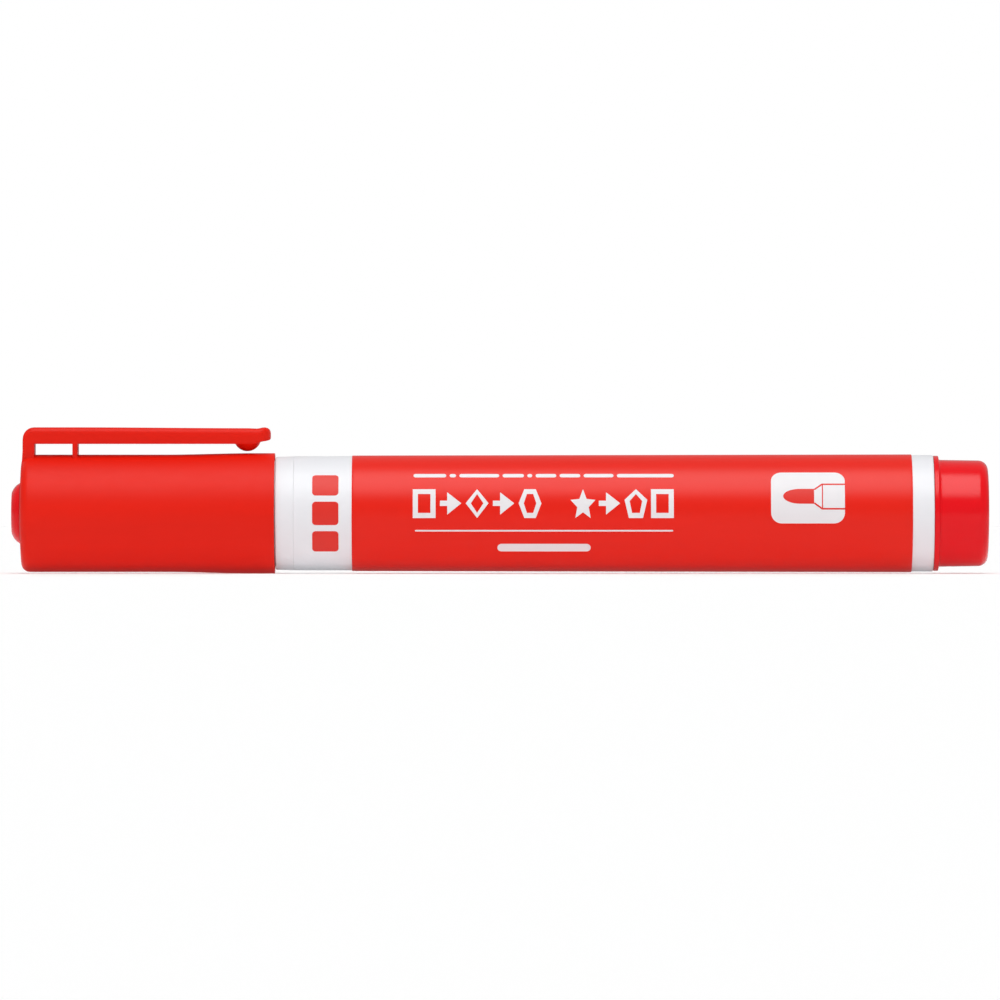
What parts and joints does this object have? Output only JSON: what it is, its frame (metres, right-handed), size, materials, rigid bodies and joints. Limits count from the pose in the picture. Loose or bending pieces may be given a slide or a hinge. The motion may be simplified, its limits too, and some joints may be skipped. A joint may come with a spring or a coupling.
{
  "type": "whiteboard marker",
  "caption": "Capped bullet-nib whiteboard marker with a pull-off cap, a springy pocket clip and a flat-ended tail plug.",
  "frame": {"origin": "centre of the flat end face of the tail plug", "axes": "+X along the marker's axis and out of the tail end, so the cap is towards -X; +Z towards the pocket clip"},
  "size_m": [0.1377, 0.0168, 0.0205],
  "materials": {
    "white_plastic": "moulded white polypropylene, soft gloss",
    "printed_film": "thin red film with white print, semi-gloss",
    "crimson_plastic": "moulded crimson plastic, glossy, slightly translucent",
    "cap_plastic": "moulded red polypropylene, soft gloss",
    "liner_plastic": "milky polyethylene, satin",
    "nib_felt": "ground acrylic fibre soaked in red ink, matt",
    "reservoir_fibre": "polyester fibre bundle soaked in red ink, matt",
    "wrap_film": "thin clear film round the fibre bundle"
  },
  "bodies": {
    "barrel": {"barrel": "white_plastic", "printed_sleeve": "printed_film", "tail_plug": "crimson_plastic", "front_section": "white_plastic", "bullet_nib": "nib_felt", "ink_reservoir": "reservoir_fibre", "reservoir_wrap": "wrap_film"},
    "cap": {"cap_shell": "cap_plastic", "cap_crown": "crimson_plastic", "inner_cap": "liner_plastic"},
    "clip": {"clip_arm": "cap_plastic"}
  },
  "joints": [
    {"name": "cap_slide", "type": "slide", "parent": "barrel", "child": "cap", "axis": [-1, 0, 0], "range_m": [0, 0.045]},
    {"name": "clip_flex", "type": "hinge", "parent": "cap", "child": "clip", "pos_m": [-0.12834, 0, 0.01097], "axis": [0, -1, 0], "range_deg": [-0.5, 5], "stiffness_Nm_per_rad": 1}
  ]
}
